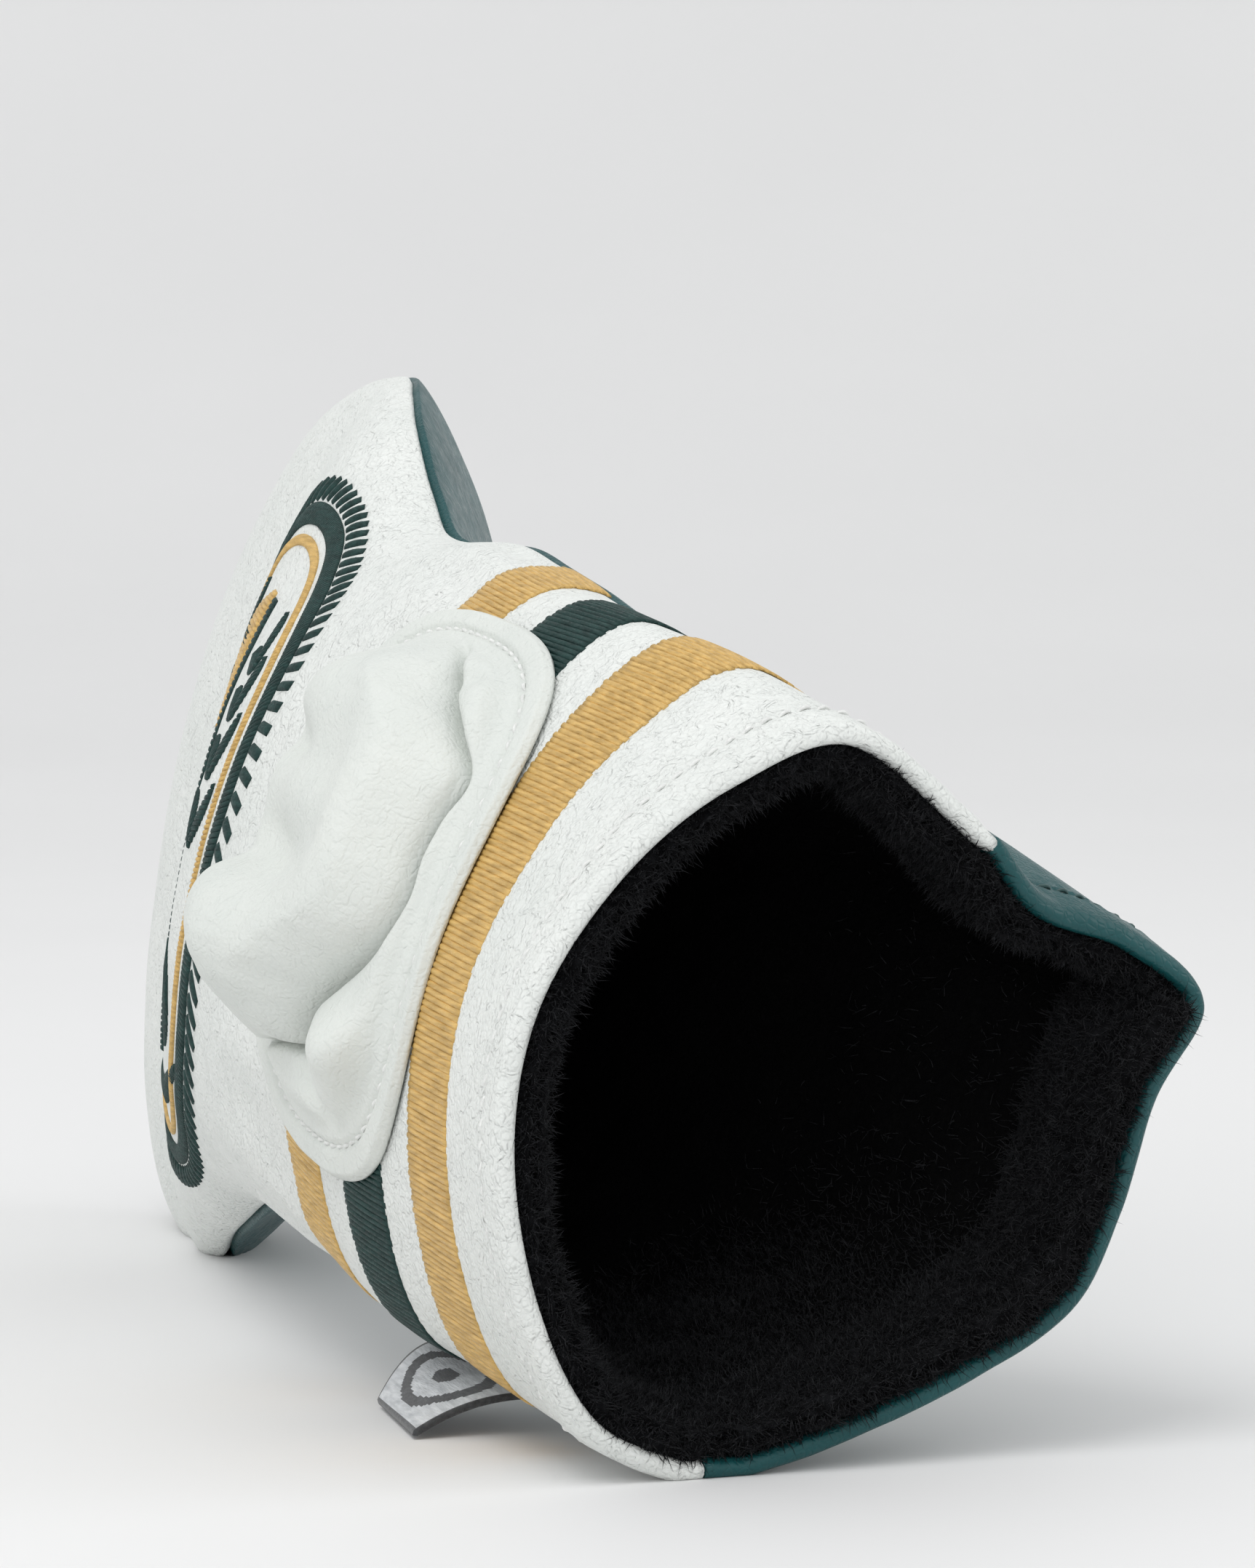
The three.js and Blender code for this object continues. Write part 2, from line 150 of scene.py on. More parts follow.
def oval(side, s, u, inset, shrink):
    """x and z of a half oval between the two seams."""
    flat = np.minimum(s, HEAD_FULL)
    top = along["top_x"](flat), along["top_z"](flat)
    bottom = along["bottom_x"](flat), along["bottom_z"](flat)
    half_x, half_z = (top[0] - bottom[0]) / 2, (top[1] - bottom[1]) / 2
    reach = np.hypot(half_x, half_z)
    up_x, up_z = half_x / reach, half_z / reach
    out_x, out_z = (-up_z, up_x) if side == "front" else (up_z, -up_x)
    rise = -np.cos(np.pi * u) * (reach - inset) * shrink
    pinch = BACK_PINCH * smooth_step(LEAN_START, LEAN_END, s) if side == "back" else 0
    bulge = np.maximum(np.sin(np.pi * u), 0) ** (1 + pinch) * (along[side](flat) - inset) * shrink
    return ((top[0] + bottom[0]) / 2 + up_x * rise + out_x * bulge,
            (top[1] + bottom[1]) / 2 + up_z * rise + out_z * bulge)


def surface(side, s, u, inset=0.0):
    """The panel's surface at s along it and u from the lower seam to the top seam, inset inside it."""
    s, u, inset = np.broadcast_arrays(np.asarray(s, float), np.asarray(u, float), np.asarray(inset, float))
    closing = np.clip((s - HEAD_FULL) / (LENGTH - inset - HEAD_FULL), 0, 1)
    x, z = oval(side, s, u, inset, np.sqrt(1 - closing**2))
    x = x + (TIP[0] - (along["top_x"](HEAD_FULL) + along["bottom_x"](HEAD_FULL)) / 2) * closing**2
    z = z + (TIP[1] - (along["top_z"](HEAD_FULL) + along["bottom_z"](HEAD_FULL)) / 2) * closing**2
    fade = 1 - smooth_step(0, MOUTH_FADE, s)
    rim_x, rim_z = oval(side, np.zeros_like(s), u, 0, 1)
    x = x + (mouth[side][0](u) - rim_x) * fade
    z = z + (mouth[side][1](u) - rim_z) * fade
    flat = np.minimum(s, HEAD_FULL)
    middle = (along["top_z"](flat) + along["bottom_z"](flat)) / 2
    y = s - HEAD_LEAN * smooth_step(LEAN_START, LEAN_END, s) * (z - middle)
    return np.stack([x, y, np.maximum(z, np.maximum(inset, 0))], -1)


def unit(vectors):
    return vectors / np.maximum(np.linalg.norm(vectors, axis=-1, keepdims=True), 1e-9)


def surface_axes(side, s, u):
    """Directions along the cover, across the panel and out of it."""
    s, u = np.broadcast_arrays(np.asarray(s, float), np.asarray(u, float))
    s = np.minimum(s, LENGTH - 3)
    u = np.clip(u, 0.012, 0.988)
    forwards = unit(surface(side, s + 0.4, u) - surface(side, s - 0.4, u))
    across = unit(surface(side, s, u + 0.004) - surface(side, s, u - 0.004))
    out = unit(np.cross(across, forwards))
    return forwards, across, out if side == "front" else -out


def raised(side, s, u, height):
    """The point height mm out of the panel's surface."""
    return surface(side, s, u) + surface_axes(side, s, u)[2] * np.asarray(height, float)[..., None]


def panel_width(side, s):
    """The panel's width at s, from seam to seam."""
    at = np.linspace(0, 1, 120)
    return float(np.linalg.norm(np.diff(surface(side, s, at), axis=0), axis=1).sum())


def even_across(side, s, count, low=0.0, high=1.0):
    """count values of u that lie at equal distances along the panel's width at s."""
    at = np.linspace(low, high, 400)
    lengths = np.concatenate([[0], np.linalg.norm(np.diff(surface(side, s, at), axis=0), axis=1).cumsum()])
    return np.interp(np.linspace(0, lengths[-1], count), lengths, at)


def rough(points, size, seed=0.0):
    """Smooth noise from about -1 to 1 at points in mm, with features about size mm across."""
    points = np.asarray(points, float)
    flat = points.reshape(-1, 3) / size + seed * 7.31
    return np.array([noise.noise(p) for p in flat.tolist()]).reshape(points.shape[:-1])


# ---- Meshes ----
def grid_quads(rows, columns, start=0, wrap=False, flip=False):
    """The faces of a grid of points, whose columns may close into a ring."""
    r, c = np.meshgrid(np.arange(rows - 1), np.arange(columns if wrap else columns - 1), indexing="ij")
    n = (c + 1) % columns
    quads = np.stack([r * columns + c, r * columns + n, (r + 1) * columns + n, (r + 1) * columns + c], -1)
    quads = quads.reshape(-1, 4) + start
    return quads[:, ::-1] if flip else quads


def make(name, points, faces, material, body="cover", stands_for=(), weld=True, second=None):
    """A shown piece from points in the cover's own mm.

    second gives the later faces another material, as (first face, material)."""
    mesh = bpy.data.meshes.new(name)
    mesh.from_pydata(place(points).tolist(), [], [list(map(int, face)) for face in faces])
    if weld:
        work = bmesh.new()
        work.from_mesh(mesh)
        bmesh.ops.remove_doubles(work, verts=work.verts, dist=1e-6)
        bmesh.ops.recalc_face_normals(work, faces=work.faces)
        work.to_mesh(mesh)
        work.free()
    mesh.polygons.foreach_set("use_smooth", [True] * len(mesh.polygons))
    mesh.materials.append(material)
    if second is not None:
        mesh.materials.append(second[1])
        index = np.zeros(len(mesh.polygons), dtype=np.int32)
        index[second[0]:] = 1
        mesh.polygons.foreach_set("material_index", index)
    mesh.update()
    piece = bpy.data.objects.new(name, mesh)
    bpy.context.scene.collection.objects.link(piece)
    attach(piece, body)
    if stands_for:
        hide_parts(*stands_for)
    return piece


def slab(outer, inner, wrap=False):
    """Points and faces of the closed solid between two grids of points."""
    rows, columns = outer.shape[:2]
    size = rows * columns
    points = np.concatenate([outer.reshape(-1, 3), inner.reshape(-1, 3)])
    faces = [grid_quads(rows, columns, 0, wrap), grid_quads(rows, columns, size, wrap, flip=True)]
    around = np.arange(columns if wrap else columns - 1)
    following = (around + 1) % columns
    for row, flip in ((0, True), (rows - 1, False)):
        a, b = row * columns + around, row * columns + following
        ring = np.stack([a, b, b + size, a + size], -1)
        faces.append(ring[:, ::-1] if flip else ring)
    if not wrap:
        for column, flip in ((0, False), (columns - 1, True)):
            a = np.arange(rows - 1) * columns + column
            side = np.stack([a, a + columns, a + columns + size, a + size], -1)
            faces.append(side[:, ::-1] if flip else side)
    return points, np.concatenate(faces)


# ---- Materials ----
class Look:
    """A procedural material, whose patterns lie in object space with their sizes given in mm."""

    def __init__(self, name, color, roughness, **sockets):
        self.material = bpy.data.materials.new(name)
        self.material.use_nodes = True
        self.nodes = self.material.node_tree.nodes
        self.links = self.material.node_tree.links
        self.shader = self.nodes["Principled BSDF"]
        self.shader.inputs["Base Color"].default_value = (*color, 1)
        self.shader.inputs["Roughness"].default_value = roughness
        for key, value in sockets.items():
            self.shader.inputs[key.replace("_", " ")].default_value = value
        self.place = self.nodes.new("ShaderNodeTexCoord").outputs["Object"]
        self.normal = None

    def noise(self, size, detail=3.0, distortion=0.0, stretch=(1, 1, 1)):
        node = self.nodes.new("ShaderNodeTexNoise")
        node.inputs["Scale"].default_value = 1 / (size * MM)
        node.inputs["Detail"].default_value = detail
        node.inputs["Distortion"].default_value = distortion
        self.links.new(self.stretched(stretch), node.inputs["Vector"])
        return node.outputs["Fac"]

    def cell_edges(self, size):
        node = self.nodes.new("ShaderNodeTexVoronoi")
        node.feature = "DISTANCE_TO_EDGE"
        node.inputs["Scale"].default_value = 1 / (size * MM)
        self.links.new(self.place, node.inputs["Vector"])
        return node.outputs["Distance"]

    def stretched(self, stretch):
        if stretch == (1, 1, 1):
            return self.place
        node = self.nodes.new("ShaderNodeMapping")
        node.inputs["Scale"].default_value = stretch
        self.links.new(self.place, node.inputs["Vector"])
        return node.outputs["Vector"]

    def ramp(self, value, *stops):
        """Colours along a value, from stops of (position, colour). A single number is a grey."""
        node = self.nodes.new("ShaderNodeValToRGB")
        elements = node.color_ramp.elements
        while len(elements) < len(stops):
            elements.new(0.5)
        for element, (position, color) in zip(elements, stops):
            element.position = position
            element.color = (*color, 1) if len(color) == 3 else (color[0],) * 3 + (1,)
        self.links.new(value, node.inputs["Fac"])
        return node.outputs["Color"]

    def bump(self, height, depth):
        """Adds relief depth mm deep to what is there already."""
        node = self.nodes.new("ShaderNodeBump")
        node.inputs["Distance"].default_value = depth * MM
        node.inputs["Strength"].default_value = 1
        self.links.new(height, node.inputs["Height"])
        if self.normal is not None:
            self.links.new(self.normal, node.inputs["Normal"])
        self.normal = node.outputs["Normal"]
        self.links.new(self.normal, self.shader.inputs["Normal"])

    def color(self, output):
        self.links.new(output, self.shader.inputs["Base Color"])

    def roughness(self, output):
        self.links.new(output, self.shader.inputs["Roughness"])


def white_leather(name, grain, dark, light):
    look = Look(name, light, 0.5, Specular_IOR_Level=0.3)
    look.color(look.ramp(look.noise(16), (0.3, dark), (0.7, light)))
    look.roughness(look.ramp(look.noise(1.6), (0.3, (0.42,)), (0.7, (0.58,))))
    look.bump(look.ramp(look.cell_edges(0.95), (0.0, (0,)), (0.25, (1,))), 0.1 * grain)
    look.bump(look.ramp(look.noise(2.6, 2, 0.8), (0.38, (1,)), (0.5, (0,)), (0.62, (1,))), 0.15 * grain)
    look.bump(look.noise(0.45, 2), 0.04)
    return look.material


def green_leather():
    look = Look("green_leather", (0.008, 0.05, 0.052), 0.3, Specular_IOR_Level=0.3)
    look.color(look.ramp(look.noise(20), (0.3, (0.006, 0.058, 0.062)), (0.7, (0.01, 0.08, 0.085))))
    look.roughness(look.ramp(look.noise(2.0), (0.3, (0.26,)), (0.7, (0.4,))))
    look.bump(look.ramp(look.cell_edges(1.1), (0.0, (0,)), (0.2, (1,))), 0.06)
    look.bump(look.noise(6, 3), 0.25)
    return look.material


def fleece(name, dark, light, sheen):
    look = Look(name, light, 0.95, Sheen_Weight=sheen, Sheen_Roughness=0.4,
                Sheen_Tint=(0.5, 0.52, 0.56, 1), Specular_IOR_Level=0.1)
    look.color(look.ramp(look.noise(1.2), (0.38, dark), (0.72, light)))
    look.bump(look.noise(0.8, 5, 1.0), 0.9)
    return look.material


def embroidery(name, dark, light, roughness, metallic, specular):
    look = Look(name, light, roughness, Metallic=metallic, Specular_IOR_Level=specular)
    look.color(look.ramp(look.noise(0.55, 2, 0, (1, 0.12, 1)), (0.3, dark), (0.7, light)))
    look.roughness(look.ramp(look.noise(0.4), (0.35, (roughness - 0.12,)), (0.65, (roughness + 0.12,))))
    look.bump(look.noise(0.22, 2, 0, (1, 0.1, 1)), 0.1)
    return look.material


def thread(name, color):
    look = Look(name, color, 0.6, Sheen_Weight=0.2)
    look.color(look.ramp(look.noise(0.6), (0.3, tuple(c * 0.8 for c in color)), (0.7, color)))
    look.bump(look.noise(0.25, 2), 0.08)
    return look.material


def woven(name, dark, light):
    look = Look(name, light, 0.6, Sheen_Weight=0.3)
    look.color(look.ramp(look.noise(0.7, 2, 0, (1, 0.2, 1)), (0.3, dark), (0.7, light)))
    look.bump(look.noise(0.3, 2, 0, (1, 0.2, 1)), 0.12)
    return look.material


panel_white = white_leather("white_leather_pebbled", 1.0, (0.73, 0.755, 0.73), (0.78, 0.8, 0.775))
# The patch's copy of the white leather: its finer grain is real, and its darker tone is painted shade.
patch_white_painted_shade = white_leather("white_leather_soft_shaded", 0.4, (0.66, 0.69, 0.66), (0.71, 0.735, 0.7))
panel_green = green_leather()
band_fleece = fleece("fleece_rolled", (0.0015, 0.0015, 0.002), (0.009, 0.0095, 0.011), 0.06)
# A darker copy of the same fleece for the lining deep inside: painted shade where less light reaches.
lining_fleece_painted_shade = fleece("fleece_deep_painted_shade", (0.0008, 0.0008, 0.001), (0.002, 0.002, 0.0022), 0.0)
# A brighter copy of the same fleece for the tufts: painted highlight on the lit fibres.
fibre_fleece_painted_highlight = fleece("fleece_fibres_painted_highlight", (0.003, 0.003, 0.0035), (0.03, 0.031, 0.034), 0.12)
gold = embroidery("gold_satin", (0.47, 0.3, 0.095), (0.72, 0.475, 0.16), 0.45, 0.1, 0.4)
green = embroidery("green_satin", (0.006, 0.024, 0.022), (0.016, 0.052, 0.047), 0.55, 0.0, 0.25)
white_thread = thread("white_sewing_thread", (0.85, 0.86, 0.84))
green_thread = thread("green_sewing_thread", (0.02, 0.07, 0.068))
elastic_white = woven("elastic_band", (0.6, 0.6, 0.58), (0.8, 0.8, 0.78))
label_silver = woven("label_silver", (0.4, 0.42, 0.44), (0.66, 0.68, 0.7))
label_dark = woven("label_dark", (0.02, 0.022, 0.026), (0.06, 0.065, 0.07))


# ---- The two leather panels ----
HEM_ROWS = np.arange(2.0, 24, 0.6)
BODY_ROWS = np.concatenate([np.arange(24, 110, 1.5), np.arange(110, HEAD_FULL, 2.2)])
CAP_ROWS = HEAD_FULL + (LENGTH - HEAD_FULL) * np.sin(np.linspace(0, np.pi / 2, 34))
PANEL_COLUMNS = 190
SEAM_SPAN = 160  # the panel's usual width, which turns u into mm beside the seams
HEM_SPAN = 150  # the same at the rim
SEAM_DIP = 1.5  # how far the leather dips into the side seams
HEM_STEP = 0.5  # how far the folded hem stands up


def panel_relief(side, s, u, points):
    """How far the leather stands out of the plain surface, in mm."""
    from_seam = np.minimum(u, 1 - u) * SEAM_SPAN
    height = 0.6 * rough(points, 38, 1) + 0.2 * rough(points, 15, 2) + 0.04 * rough(points, 5.5, 3)
    height = height * smooth_step(6, 40, s)
    gathers = np.sin(u * 44 + 2.5 * rough(points, 22, 4)) * bell(s, 98, 16)
    height += 0.5 * gathers
    folded = 1 - smooth_step(HEM - 0.3, HEM + 0.9, s)
    height += HEM_STEP * folded - 0.55 * bell(s, HEM_STITCH, 0.55)
    puckers = np.sin(2 * np.pi * u * HEM_SPAN / STITCH_PITCH)
    height += 0.1 * puckers * bell(s, HEM_STITCH, 2.4)
    height += 0.25 * rough(points, 5, 5) * bell(s, 3, 4)
    height -= SEAM_DIP * np.exp(-((from_seam / 1.5) ** 2)) * smooth_step(0, 3, s)
    return height * (1 - smooth_step(LENGTH - 14, LENGTH - 1, s))


def on_leather(side, s, u, height):
    """The point height mm above the leather as it lies, with its dents and its hem."""
    s, u = np.broadcast_arrays(np.asarray(s, float), np.asarray(u, float))
    base = surface(side, s, u)
    lift = panel_relief(side, s, u, base) + height
    return base + surface_axes(side, s, u)[2] * lift[..., None]


def leather_panel(side, material):
    rows = np.concatenate([HEM_ROWS, BODY_ROWS, CAP_ROWS])
    columns = even_across(side, 60, PANEL_COLUMNS)
    s, u = np.meshgrid(rows, columns, indexing="ij")
    base = surface(side, s, u)
    out = surface_axes(side, s, u)[2]
    relief = panel_relief(side, s, u, base)
    outer = base + out * relief[..., None]
    thickness = LEATHER + LEATHER * (1 - smooth_step(HEM - 0.5, HEM + 0.9, s))
    inner = surface(side, s, u, thickness) + out * np.minimum(relief, 0)[..., None] * 0.6
    # The fold at the rim: each face turns a quarter of a circle towards the other.
    outer_rim, inner_rim = [], []
    for angle in np.linspace(0, np.pi / 2, 6)[1:]:
        away = HEM_ROWS[0] - HEM_ROWS[0] * math.sin(angle)
        inward = LEATHER - LEATHER * math.cos(angle)
        rim = surface(side, away, columns)
        row_out = surface_axes(side, away, columns)[2]
        ripple = panel_relief(side, away + 0 * columns, columns, rim)
        outer_rim.append(rim + row_out * (ripple * math.cos(angle) - inward)[:, None])
        inner_rim.append(rim - row_out * (2 * LEATHER - inward))
    outer = np.concatenate([np.array(outer_rim[::-1]), outer])
    inner = np.concatenate([np.array(inner_rim[::-1]), inner])
    shift = (-SEAM_HALF_GAP if side == "front" else SEAM_HALF_GAP, 0, 0)
    points, faces = slab(outer + shift, inner + shift)
    points[:, 2] = np.maximum(points[:, 2], 0.0)
    make(side + "_panel", points, faces, material, stands_for=[side + "_shell"])


leather_panel("front", panel_white)
leather_panel("back", panel_green)


# ---- Fleece ----
TUFT_LENGTH = 1.7
TUFT_RADIUS = 0.075
LINING_TUFTS = 9000
BAND_TUFTS = 15000


def fibres(roots, directions, lengths, widths, seed):
    """Short bent spikes, three sided, which stand in the pile."""
    random = np.random.default_rng(seed)
    side = unit(np.cross(directions, random.normal(size=directions.shape)))
    other = np.cross(directions, side)
    bend = unit(random.normal(size=directions.shape)) * 0.35
    rings = []
    for share, width in ((-0.15, 1.0), (0.55, 0.75)):
        centre = roots + (directions * share + bend * max(share, 0) ** 2) * lengths[:, None]
        for k in range(3):
            angle = 2 * math.pi * k / 3
            offset = side * math.cos(angle) + other * math.sin(angle)
            rings.append(centre + offset * (widths * width)[:, None])
    rings.append(roots + (directions + bend) * lengths[:, None])
    points = np.stack(rings, 1).reshape(-1, 3)
    base = np.arange(len(roots)) * 7
    faces = [np.stack([base + 2, base + 1, base], -1)]
    for k in range(3):
        n = (k + 1) % 3
        faces.append(np.stack([base + k, base + n, base + 3 + n], -1))
        faces.append(np.stack([base + k, base + 3 + n, base + 3 + k], -1))
        faces.append(np.stack([base + 3 + k, base + 3 + n, base + 6], -1))
    return points, np.concatenate(faces)


def grid_normals(grid):
    return unit(np.cross(np.gradient(grid, axis=1), np.gradient(grid, axis=0)))


def scatter(grid, count, seed, weight=None):
    """Random points on a grid of points, even by area, with the grid's normals there."""
    random = np.random.default_rng(seed)
    along_rows = np.linalg.norm(np.diff(grid, axis=0)[:, :-1], axis=-1)
    along_columns = np.linalg.norm(np.diff(grid, axis=1)[:-1], axis=-1)
    area = along_rows * along_columns
    if weight is not None:
        area = area * weight[:-1, :-1]
    cells = random.choice(area.size, count, p=(area / area.sum()).ravel())
    r, c = np.unravel_index(cells, area.shape)
    r_share, c_share = random.random((2, count, 1))

    def within_cells(values):
        near = values[r, c] * (1 - r_share) + values[r + 1, c] * r_share
        far = values[r, c + 1] * (1 - r_share) + values[r + 1, c + 1] * r_share
        return near * (1 - c_share) + far * c_share

    return within_cells(grid), unit(within_cells(grid_normals(grid))), random


def pile(grid, count, seed, facing, weight=None):
    """Tufts all over a grid of points. facing is 1 or -1, for the side that they stand on."""
    roots, normals, random = scatter(grid, count, seed, weight)
    normals = normals * facing
    directions = unit(normals + 0.55 * random.normal(size=normals.shape) + (0, -0.15, -0.1))
    lengths = TUFT_LENGTH * (0.5 + random.random(count))
    radii = TUFT_RADIUS * (0.7 + 0.6 * random.random(count))
    return fibres(roots, directions, lengths, radii, seed + 1)


def join_parts(parts):
    """One piece's points and faces, from those of its parts."""
    points, faces, start = [], [], 0
    for part_points, part_faces in parts:
        points.append(part_points)
        faces.extend([[index + start for index in face] for face in part_faces])
        start += len(part_points)
    return np.concatenate(points), faces


def fleece_lining(side):
    closing = HEAD_FULL + (LENGTH - LINING[1] - HEAD_FULL) * np.sin(np.linspace(0, np.pi / 2, 14))
    rows = np.concatenate([np.arange(BAND - 2, 120, 2.0), np.arange(120, HEAD_FULL, 4.0), closing])
    trim = 0.004
    columns = np.linspace(trim, 1 - trim, 110)
    s, u = np.meshgrid(rows, columns, indexing="ij")
    out = surface_axes(side, s, u)[2]
    outside = surface(side, s, u, LINING[0])
    inside = surface(side, s, u, LINING[1])
    lumps = 1.4 * rough(inside, 17, 11) + 0.9 * rough(inside, 6, 12) + 0.5 * rough(inside, 2.6, 13)
    lumps += 2.2 * bell(s, 30, 16) * bell(inside[..., 2], 4, 14) * (1 + rough(inside, 8, 14))
    inside = inside - out * (lumps * (1 - smooth_step(LENGTH - 30, LENGTH - 8, s)))[..., None]
    # The tufts carry the brighter fibre copy and are spread near the mouth and low down, where light reaches
    # in: painted highlight.
    near = (1 - smooth_step(24, 52, s)) * (0.02 + bell(inside[..., 2], 4, 16))
    facing = np.sign(grid_normals(inside)[5, 50] @ -out[5, 50])
    tufts = pile(inside, LINING_TUFTS, 21 if side == "front" else 31, facing, near)
    body = slab(outside, inside)
    points, faces = join_parts([body, tufts])
    # Painted shade on the lining: it takes the darker copy of the fleece.
    make(side + "_fleece_lining", points, faces, lining_fleece_painted_shade, stands_for=[side + "_lining"],
         weld=False, second=(len(body[1]), fibre_fleece_painted_highlight))


# The band's section, as (s, depth under the leather's face): its inner face, and the face behind it.
BAND_FACE = [(3.8, 5.7), (5.2, 6.2), (7.2, 7.0), (9.5, 7.1), (12, 6.6), (BAND, 5.6)]
BAND_REAR = [(BAND, 2.6), (8, 2.5), (3.4, 2.4)]
BAND_GROOVE = 1.3


def under_leather(side, section, columns):
    """A grid of points from a section of (s, depth) pairs, all along the panel."""
    s, depth = (np.array(values)[:, None] + 0 * columns for values in zip(*section))
    return surface(side, s, columns) - surface_axes(side, s, columns)[2] * depth[..., None]


def fleece_band(side):
    """A rolled band: round at the rim, with a sewn groove between its two ridges."""
    columns = np.linspace(0, 1, 260)
    roll = []
    for angle in np.linspace(0, np.pi, 13):
        groove = BAND_GROOVE * math.exp(-(((angle - 1.75) / 0.28) ** 2))
        roll.append((2.6 - 2.2 * math.sin(angle) + groove, 4.3 - 1.9 * math.cos(angle)))
    face = under_leather(side, roll + BAND_FACE, columns)
    normals = grid_normals(face)
    middle = surface(side, 6, columns, 4.3)
    towards = np.sign(np.median(((face[8] - middle) * normals[8]).sum(-1)))
    normals = normals * towards
    lumps = 0.55 * rough(face, 4.5, 41) + 0.5 * rough(face, 1.9, 42) + 0.25 * rough(face, 0.9, 43)
    face = face + normals * lumps[..., None]
    ring = np.concatenate([face, under_leather(side, BAND_REAR, columns)])
    rows = len(ring)
    points = np.concatenate([ring, ring[:1]]).reshape(-1, 3)
    faces = list(grid_quads(rows + 1, len(columns)))
    for column, flip in ((0, False), (len(columns) - 1, True)):
        cap = [r * len(columns) + column for r in range(rows)]
        faces.append(cap[::-1] if flip else cap)
    tufts = pile(face, BAND_TUFTS, 51 if side == "front" else 61, towards)
    first_tuft = len(faces)
    points, faces = join_parts([(points, faces), tufts])
    points[:, 2] = np.maximum(points[:, 2], 0.05)
    # The band's tufts take the brighter fibre copy of the fleece: painted highlight.
    make(side + "_fleece_band", points, faces, band_fleece, stands_for=[side + "_rim_band"],
         weld=False, second=(first_tuft, fibre_fleece_painted_highlight))


for panel_side in ("front", "back"):
    fleece_lining(panel_side)
    fleece_band(panel_side)


# ---- Sewing: rows of single stitches ----
def stitches(name, side, s, u, height, gap, radius, material, stands_for, lay=on_leather):
    """A row of stitches whose corners are the points (s, u). gap is the share of each step left bare."""
    points, faces = [], []
    corners, rings = 6, 7
    for i in range(len(s) - 1):
        at = np.linspace(gap / 2, 1 - gap / 2, rings)
        line_s, line_u = s[i] + (s[i + 1] - s[i]) * at, u[i] + (u[i + 1] - u[i]) * at
        arch = np.sin(np.pi * np.linspace(0, 1, rings)) ** 0.6
        lift = height - radius * 1.6 + 1.8 * radius * arch
        centre = lay(side, line_s, line_u, lift)
        out = surface_axes(side, line_s, line_u)[2]
        forward = unit(np.gradient(centre, axis=0))
        sideways = unit(np.cross(forward, out))
        swell = radius * (0.55 + 0.45 * arch)
        start = len(points) * corners
        for k in range(rings):
            angle = np.linspace(0, 2 * np.pi, corners, endpoint=False)[:, None]
            points.append(centre[k] + (sideways[k] * np.cos(angle) + out[k] * np.sin(angle)) * swell[k])
        for k in range(rings - 1):
            for c in range(corners):
                a, b = start + k * corners + c, start + k * corners + (c + 1) % corners
                faces.append((a, b, b + corners, a + corners))
        faces.append(tuple(start + c for c in range(corners))[::-1])
        faces.append(tuple(start + (rings - 1) * corners + c for c in range(corners)))
    make(name, np.concatenate(points), faces, material, stands_for=stands_for, weld=False)


def hem_stitches(side, low, material):
    """Single stitches along the hem, from low to just short of the top seam."""
    high = 0.985
    count = int(panel_width(side, HEM_STITCH) * (high - low) / STITCH_PITCH)
    u = even_across(side, HEM_STITCH, count, low, high)
    stitches(side + "_hem_stitches", side, np.full(count, HEM_STITCH), u, 0.42, 0.24, 0.28, material,
             [side + "_hem_stitch"])


hem_stitches("front", 0.03, white_thread)
hem_stitches("back", 0.05, green_thread)


# ---- The embroidered stripes ----
# A rib's section, as (across in rib widths, up in rib heights).
STRIPE_RIB = [(-0.62, -0.5), (-0.5, 0.45), (-0.2, 0.95), (0.2, 0.95), (0.5, 0.45), (0.62, -0.5)]


def rib_faces(count, sections, corners):
    """The faces of count separate ribs, each of sections rings of corners points."""
    first = (np.arange(count) * sections * corners)[:, None, None]
    k, c = np.meshgrid(np.arange(sections - 1), np.arange(corners), indexing="ij")
    a = first + k * corners + c
    b = first + k * corners + (c + 1) % corners
    faces = np.stack([a, b, b + corners, a + corners], -1).reshape(-1, 4).tolist()
    for i in range(count):
        start = i * sections * corners
        faces.append([start + j for j in range(corners)][::-1])
        faces.append([start + (sections - 1) * corners + j for j in range(corners)])
    return faces


def stripe(name, low, high, material):
    random = np.random.default_rng(int(low * 10))
    middle = (low + high) / 2
    width = panel_width("front", middle) * (STRIPE_SPAN[1] - STRIPE_SPAN[0])
    count = int(width / STITCH_WIDTH)
    u = even_across("front", middle, count, *STRIPE_SPAN)
    uneven = random.uniform(-RIB_RAGGED, RIB_RAGGED, (2, count))
    ragged = RIB_RAGGED * np.where(np.arange(count) % 2, 1, -1) + uneven
    step = width / count
    points = np.zeros((count, RIB_SECTIONS, len(STRIPE_RIB), 3))
    tall = RIB_HEIGHT * (1 + 0.15 * random.uniform(-1, 1, count))
    for k in range(RIB_SECTIONS):
        t = k / (RIB_SECTIONS - 1)
        s = low - ragged[0] + (high - low + ragged[0] + ragged[1]) * t
        lift = math.sin(math.pi * min(max(t, 0.015), 0.985)) ** 0.2
        _, sideways, out = surface_axes("front", s, u)
        base = on_leather("front", s, u, 0.12)
        for c, (across, up) in enumerate(STRIPE_RIB):
            points[:, k, c] = base + sideways * across * step + out * (up * lift * tall)[:, None]
    faces = rib_faces(count, RIB_SECTIONS, len(STRIPE_RIB))
    make(name + "_embroidery", points.reshape(-1, 3), faces, material, stands_for=[name],
         weld=False)


for stripe_name, (stripe_low, stripe_high) in STRIPES.items():
    if stripe_name == "stripe_green":
        stripe(stripe_name, stripe_low, stripe_high, green)
    else:
        stripe(stripe_name, stripe_low, stripe_high, gold)


# ---- The gathered patch ----
FLANGE_TOP = 2.2
PATCH_WIDTH = 150  # the panel's width there, in mm
PATCH_STITCH_AT = 0.885  # in shares of the way from its middle to its edge
PATCH_STITCHES = 78
